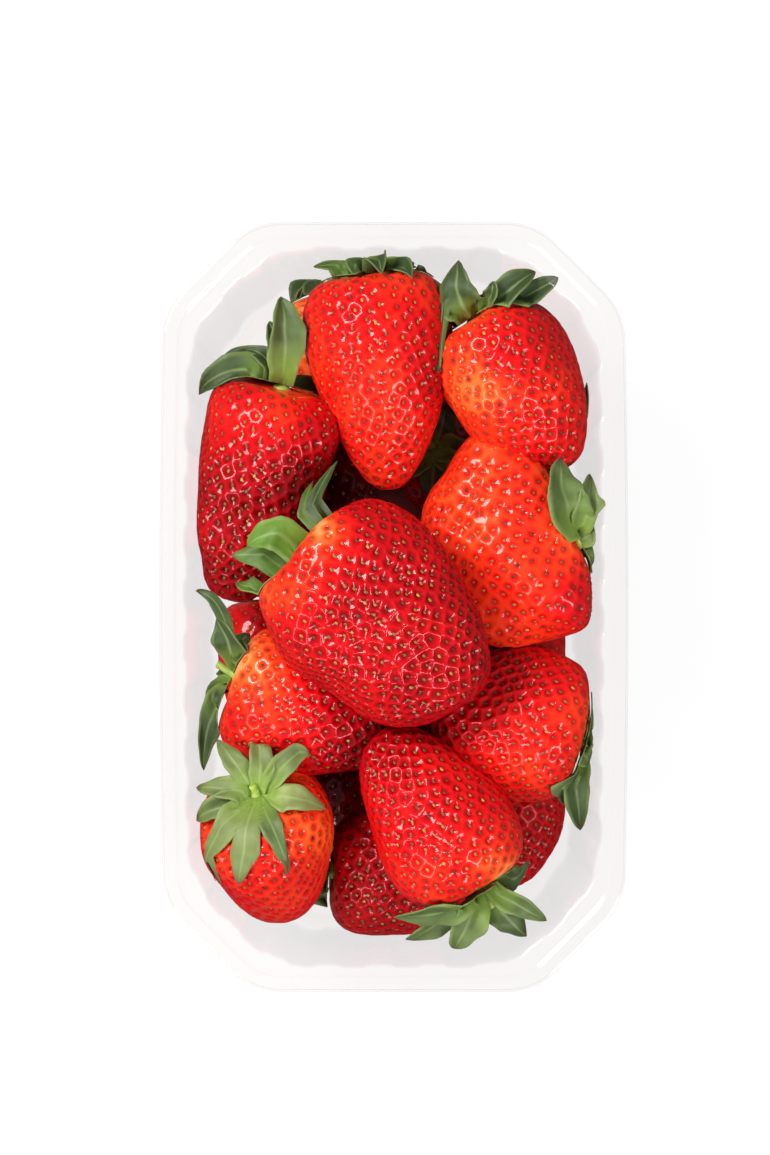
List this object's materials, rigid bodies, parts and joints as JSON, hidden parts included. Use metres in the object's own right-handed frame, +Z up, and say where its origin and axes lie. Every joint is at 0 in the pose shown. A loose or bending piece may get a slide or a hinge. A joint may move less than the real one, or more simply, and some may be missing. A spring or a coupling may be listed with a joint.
{
  "type": "punnet of strawberries",
  "caption": "Open clear plastic punnet heaped with whole ripe strawberries, with an eight-sided flanged rim and fluted sloping walls.",
  "frame": {"origin": "centre of the flat underside of the tray", "axes": "+Y along the tray's long side, +X across it, +Z up through the fruit"},
  "size_m": [0.1158, 0.19, 0.0818],
  "materials": {
    "clear_plastic": "gloss",
    "strawberry": "gloss"
  },
  "bodies": {
    "root": {"tray": "clear_plastic", "strawberry_heap": "strawberry"}
  },
  "joints": []
}
